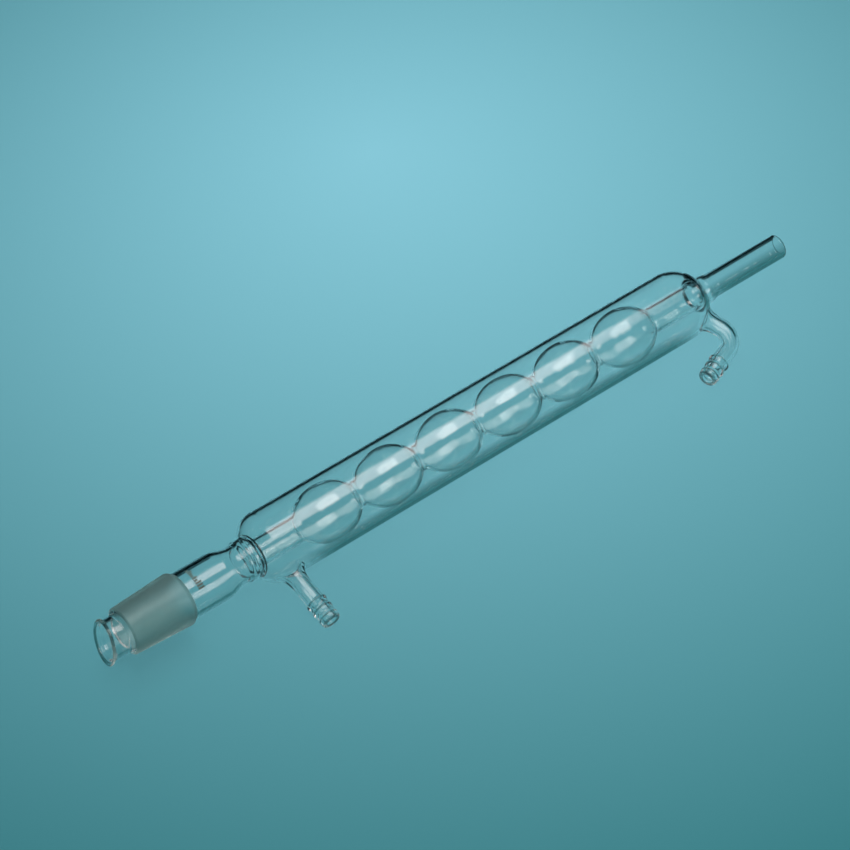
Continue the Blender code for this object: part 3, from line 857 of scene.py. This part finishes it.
def make_outlet_arm():
    """The bent arm. Returns where its hose end starts and in which direction it points."""
    first, last = outlet_directions()
    start = Vector((JACKET, 0, OUTLET_HEIGHT))
    side = Vector((0, 1, 0))
    bend_start = start + first * OUTLET_FIRST
    centre = bend_start + last * OUTLET_BEND
    sections = []
    for i in range(BEND_STEPS + 1):
        angle = math.pi / 2 * i / BEND_STEPS
        outward = first * math.sin(angle) - last * math.cos(angle)
        sections.append((centre + outward * OUTLET_BEND, outward, side))
    straight = OUTLET_LAST - HOSE_END
    bend_end = centre + first * OUTLET_BEND
    spans = 3
    for i in range(1, spans + 1):
        sections.append((bend_end + last * straight * i / spans, first, side))
    make_arm("water_outlet_arm", start, first, OUTLET_FOOT, sections)
    return bend_end + last * straight, last


def barb_outline(per_span):
    """Outline of the barbs from the arm's end on, and where each crest starts and ends on it."""
    pitch = HOSE_END / BARBS
    ridges = [(ARM, 0.0)]
    crests = []
    for i in range(BARBS):
        crest = BARB_CREST - BARB_STEP * i
        low = pitch * i
        crests.append((per_span * (len(ridges) + 1), per_span * (len(ridges) + 3)))
        ridges += [(ARM + 0.12, low + 0.45), (crest - 0.08, low + 0.95), (crest, low + 1.3),
                   (crest - 0.12, low + 1.75), (ARM + 0.28, low + 2.7)]
        if i < BARBS - 1:
            ridges.append((ARM + 0.04, low + pitch - 0.25))
    return curve(ridges, (0, 1), (-0.1, 1), per_span), crests


def hose_end_runs():
    """Closed outline of a barbed hose end. Its crests and its rolled tip carry painted shade, a
    darker tint of the glass.
    """
    ribbed, crests = barb_outline(5)
    runs = []
    last = 0
    for start, end in crests:
        runs += [("glass", ribbed[last:start + 1]), ("rim", ribbed[start:end + 1])]
        last = end
    tip = curve([ribbed[-1], (HOSE_TIP, HOSE_END - TIP_ROUND)], (-0.1, 1), (0, 1), 4)
    runs.append(("glass", joined(ribbed[last:], tip)))
    rolled = joined(
        arc(HOSE_TIP - TIP_ROUND, HOSE_END - TIP_ROUND, TIP_ROUND, 0, 90),
        arc(HOSE_BORE + MOUTH_ROUND, HOSE_END - MOUTH_ROUND, MOUTH_ROUND, 90, 180),
    )
    inner = joined(
        curve([(ARM_BORE, 0.0), (HOSE_BORE, HOSE_BORE_STEP)], (0, 1), (0, 1), 5),
        [(HOSE_BORE, HOSE_BORE_STEP), (HOSE_BORE, HOSE_END - MOUTH_ROUND)],
    )
    return runs + [
        ("rim", rolled),
        ("glass", inner[::-1]),
        ("seam", [inner[0], ribbed[0]]),
    ]


def make_hose_end(node, start, direction):
    turn = Vector((0, 0, 1)).rotation_difference(direction).to_matrix().to_4x4()
    place = Matrix.Translation(start) @ turn
    settle(revolved(node + "_glass", hose_end_runs(), ARM_STEPS, place), node)


def make_arms():
    make_inlet_arm()
    inlet_end = Vector((INLET_REACH - HOSE_END, 0, INLET_HEIGHT))
    make_hose_end("water_inlet_hose_end", inlet_end, Vector((1, 0, 0)))
    outlet_end, last = make_outlet_arm()
    make_hose_end("water_outlet_hose_end", outlet_end, last)


# ---------------------------------------------------------------- studio


# Places and sizes here are world coordinates in metres, unless a comment says otherwise.
CAMERA_TURN = math.radians(25)
CAMERA_LIFT = math.radians(50)
CAMERA_ROLL = math.radians(30.33)
CAMERA_DISTANCE = 1.59
CAMERA_LENS = 159.9  # millimetres, on a sensor 36 mm wide
CAMERA_SENSOR = 36.0
AIM_HEIGHT = 134.3  # millimetres along the glass
AIM_SIDE = 0.0105  # off the axis of the glass

FLOOR_SIZE = 4.0
# Painted pool of light: the floor's colour is brightest round a middle point and deepens further
# out.
FLOOR_PAINTED_POOL_TINTS = (0.036, 0.225, 0.252, 1.0), (0.208, 0.495, 0.585, 1.0)  # far out and in the middle
PAINTED_POOL_MIDDLE = (0.10, 0.20)
PAINTED_POOL_REACH = 0.5
ROOM_TINT = (0.03, 0.09, 0.11, 1.0)

SOFTBOX_WIDTH = 1.06
SOFTBOX_DEPTH = 0.66
SOFTBOX_PLACE = (0.08, -0.11, 0.80)
SOFTBOX_GLOW = 4.0
SOFTBOX_TINT = (1.0, 0.87, 0.85, 1.0)
SOFTBOX_FADES = (0.16, 0.24)  # shares of its width and depth over which it dims to the edge

FILL_PLACE = (0.12, 0.24, 0.55)
FILL_AIM = (0.08, 0.16, 0.0)
FILL_SIZE = 0.3
FILL_POWER = 2.0
FILL_TINT = (0.95, 1.0, 1.0)

# Dark cards that only glass sees, painted shade for the unlit room beyond the floor. A flag stands
# on its edge: name, (x, y), width, height, turn.
PAINTED_SHADE_FLAG_TINT = (0.002, 0.006, 0.008, 1.0)
PAINTED_SHADE_FLAGS = (
    ("back_flag_neck", (-0.165, 0.052), 0.11, 0.045, 0.0),
    ("back_flag_jacket", (0.040, 0.068), 0.31, 0.050, 0.0),
    ("back_flag_vapour", (0.235, 0.044), 0.15, 0.040, 0.0),
    ("end_flag", (0.215, 0.0), 0.12, 0.14, math.pi / 2),
)
FLAG_LIFT = 0.001

# Painted shadow: a dark card lies on the floor under the glass: name, two (x, y) corners, and from
# which y to which y it fades.
PAINTED_SHADOW_TINT = (0.028, 0.140, 0.155, 1.0)
PAINTED_SHADOW_CARDS = (
    ("painted_shadow_jacket", (-0.092, -0.010), (0.136, 0.0120), 0.0060, 0.0118),
    ("painted_shadow_neck", (-0.200, -0.010), (-0.104, 0.0100), 0.0030, 0.0095),
    ("painted_shadow_vapour", (0.146, -0.010), (0.260, 0.0290), 0.0170, 0.0288),
)
PAINTED_SHADOW_LIFT = 0.0008
PAINTED_SHADOW_END_FADE = 0.1


def make_camera():
    """The camera looks down at the glass from the drip tip's side, with the glass rising right."""
    along = Vector((1, 0, 0))
    lift = Vector((0, -math.cos(CAMERA_LIFT), math.sin(CAMERA_LIFT)))
    down = Vector((0, -math.sin(CAMERA_LIFT), -math.cos(CAMERA_LIFT)))
    back = -math.sin(CAMERA_TURN) * along + math.cos(CAMERA_TURN) * lift
    level = math.cos(CAMERA_TURN) * along + math.sin(CAMERA_TURN) * lift
    right = math.cos(CAMERA_ROLL) * level + math.sin(CAMERA_ROLL) * down
    up = math.sin(CAMERA_ROLL) * level - math.cos(CAMERA_ROLL) * down
    aim = condenser @ (Vector((0, 0, AIM_HEIGHT)) * MM) - down * AIM_SIDE
    data = bpy.data.cameras.new("camera")
    data.lens = CAMERA_LENS
    data.sensor_width = CAMERA_SENSOR
    data.clip_start = 0.05
    camera = bpy.data.objects.new("camera", data)
    turn = Matrix((right, up, back)).transposed().to_4x4()
    camera.matrix_world = Matrix.Translation(aim + back * CAMERA_DISTANCE) @ turn
    bpy.context.scene.collection.objects.link(camera)
    bpy.context.scene.camera = camera


def make_floor():
    """A sheet of pale aqua card with a painted pool of light, deepening a little away from the
    middle.
    """
    bpy.ops.mesh.primitive_plane_add(size=FLOOR_SIZE)
    floor = bpy.context.active_object
    floor.name = "floor"
    mat, tree, shader = new_material("pale_aqua_card_painted_pool")
    shader.inputs["Roughness"].default_value = 0.9
    shader.inputs["Specular IOR Level"].default_value = 0.1
    place = tree.nodes.new("ShaderNodeTexCoord")
    mapping = tree.nodes.new("ShaderNodeMapping")
    shift = [-distance / PAINTED_POOL_REACH for distance in PAINTED_POOL_MIDDLE]
    mapping.inputs["Location"].default_value = (*shift, 0.0)
    mapping.inputs["Scale"].default_value = (1 / PAINTED_POOL_REACH, 1 / PAINTED_POOL_REACH, 1.0)
    # The spherical gradient is the painted pool of light.
    painted_pool = tree.nodes.new("ShaderNodeTexGradient")
    painted_pool.gradient_type = "SPHERICAL"
    tree.links.new(place.outputs["Object"], mapping.inputs["Vector"])
    tree.links.new(mapping.outputs["Vector"], painted_pool.inputs["Vector"])
    tint = mixed_tint(tree, FLOOR_PAINTED_POOL_TINTS, painted_pool.outputs["Fac"])
    tree.links.new(tint, shader.inputs["Base Color"])
    floor.data.materials.append(mat)


def new_card(name, colour):
    """A card one metre square, of a dull cloth, which carries painted shade. Only glass sees it,
    and it casts no shadow.
    """
    bpy.ops.mesh.primitive_plane_add(size=1.0)
    card = bpy.context.active_object
    card.name = name
    mat, tree, shader = new_material(name + "_cloth")
    shader.inputs["Base Color"].default_value = colour
    shader.inputs["Specular IOR Level"].default_value = 0.0
    card.data.materials.append(mat)
    card.visible_camera = False
    card.visible_diffuse = False
    card.visible_shadow = False
    return card, tree, shader


def make_painted_shade_flag(name, place, width, height, turn):
    """A black card on its edge, painted shade that only glass sees. It gives the upper edges of
    clear glass their line.
    """
    flag, _, _ = new_card(name, PAINTED_SHADE_FLAG_TINT)
    flag.data.transform(Matrix.Diagonal((width, height, 1, 1)))
    flag.data.transform(Matrix.Rotation(math.pi / 2, 4, "X"))
    flag.data.transform(Matrix.Rotation(turn, 4, "Z"))
    flag.location = (place[0], place[1], height / 2 + FLAG_LIFT)


def make_painted_shadow_card(name, low, high, dark_until, clear_from):
    """A dark card on the floor, painted shadow under the glass, which deepens the lower edge of
    the glass above it.

    It fades out in y between the two last values, and a little at both ends of x."""
    card, tree, shader = new_card(name, PAINTED_SHADOW_TINT)
    middle = Vector(((low[0] + high[0]) / 2, (low[1] + high[1]) / 2, PAINTED_SHADOW_LIFT))
    size = Matrix.Diagonal((high[0] - low[0], high[1] - low[1], 1, 1))
    card.data.transform(Matrix.Translation(middle) @ size)
    place = tree.nodes.new("ShaderNodeTexCoord")
    across = tree.nodes.new("ShaderNodeSeparateXYZ")
    tree.links.new(place.outputs["Object"], across.inputs[0])
    fade = tree.nodes.new("ShaderNodeMapRange")
    fade.inputs["From Min"].default_value = dark_until
    fade.inputs["From Max"].default_value = clear_from
    fade.inputs["To Min"].default_value = 1.0
    fade.inputs["To Max"].default_value = 0.0
    tree.links.new(across.outputs["Y"], fade.inputs["Value"])
    along = tree.nodes.new("ShaderNodeSeparateXYZ")
    tree.links.new(place.outputs["Generated"], along.inputs[0])
    ends = edge_fade(tree, along.outputs["X"], PAINTED_SHADOW_END_FADE)
    tree.links.new(product(tree, fade.outputs["Result"], ends), shader.inputs["Alpha"])


def make_softbox():
    """The overhead softbox: its cloth is brightest in the middle and fades at the edges."""
    bpy.ops.mesh.primitive_plane_add(size=1.0)
    box = bpy.context.active_object
    box.name = "overhead_softbox"
    box.data.transform(Matrix.Diagonal((SOFTBOX_WIDTH, SOFTBOX_DEPTH, 1, 1)))
    box.location = SOFTBOX_PLACE
    box.visible_camera = False
    mat, tree, shader = new_material("softbox_cloth")
    tree.nodes.remove(shader)
    place = tree.nodes.new("ShaderNodeTexCoord")
    split = tree.nodes.new("ShaderNodeSeparateXYZ")
    tree.links.new(place.outputs["Generated"], split.inputs[0])
    edges = [edge_fade(tree, split.outputs[k], fade) for k, fade in enumerate(SOFTBOX_FADES)]
    glow = tree.nodes.new("ShaderNodeEmission")
    glow.inputs["Color"].default_value = SOFTBOX_TINT
    strength = ranged(tree, product(tree, *edges), 0.0, SOFTBOX_GLOW)
    tree.links.new(strength, glow.inputs["Strength"])
    tree.links.new(glow.outputs[0], tree.nodes["Material Output"].inputs["Surface"])
    box.data.materials.append(mat)


def product(tree, first, second):
    both = tree.nodes.new("ShaderNodeMath")
    both.operation = "MULTIPLY"
    tree.links.new(first, both.inputs[0])
    tree.links.new(second, both.inputs[1])
    return both.outputs[0]


def edge_fade(tree, value, fade):
    """One between the two ends of a 0 to 1 value, with a smooth fall to zero at both."""
    fold = tree.nodes.new("ShaderNodeMath")
    fold.operation = "PINGPONG"
    fold.inputs[1].default_value = 0.5
    tree.links.new(value, fold.inputs[0])
    ramp = tree.nodes.new("ShaderNodeMapRange")
    ramp.interpolation_type = "SMOOTHSTEP"
    ramp.inputs["From Max"].default_value = fade
    tree.links.new(fold.outputs[0], ramp.inputs["Value"])
    return ramp.outputs["Result"]


def make_fill():
    """A soft light that only falls on surfaces. Clear glass doesn't mirror it."""
    data = bpy.data.lights.new("floor_fill", "AREA")
    data.shape = "DISK"
    data.size = FILL_SIZE
    data.energy = FILL_POWER
    data.color = FILL_TINT
    light = bpy.data.objects.new("floor_fill", data)
    light.location = FILL_PLACE
    light.rotation_mode = "QUATERNION"
    light.rotation_quaternion = (Vector(FILL_PLACE) - Vector(FILL_AIM)).to_track_quat("Z", "Y")
    light.visible_camera = False
    light.visible_glossy = False
    light.visible_transmission = False
    bpy.context.scene.collection.objects.link(light)


def make_world():
    world = bpy.data.worlds.new("studio")
    world.use_nodes = True
    background = world.node_tree.nodes["Background"]
    background.inputs["Color"].default_value = ROOM_TINT
    background.inputs["Strength"].default_value = 1.0
    bpy.context.scene.world = world


def let_glass_bend_light():
    """Rays may cross the many walls of glass. Light through it isn't focused into caustics."""
    scene = bpy.context.scene
    scene.view_settings.view_transform = "Standard"
    scene.cycles.max_bounces = 24
    scene.cycles.transmission_bounces = 24
    scene.cycles.glossy_bounces = 12
    scene.cycles.transparent_max_bounces = 64
    scene.cycles.caustics_reflective = False
    scene.cycles.caustics_refractive = False


def make_studio():
    make_camera()
    make_floor()
    make_world()
    for flag in PAINTED_SHADE_FLAGS:
        make_painted_shade_flag(*flag)
    for card in PAINTED_SHADOW_CARDS:
        make_painted_shadow_card(*card)
    make_softbox()
    make_fill()
    let_glass_bend_light()


make_drip_tip()
make_ground_cone()
make_neck()
make_enamel_mark()
make_lower_ring_seal()
make_inner_tube()
make_upper_ring_seal()
make_vapour_tube()
make_jacket()
make_arms()
make_studio()
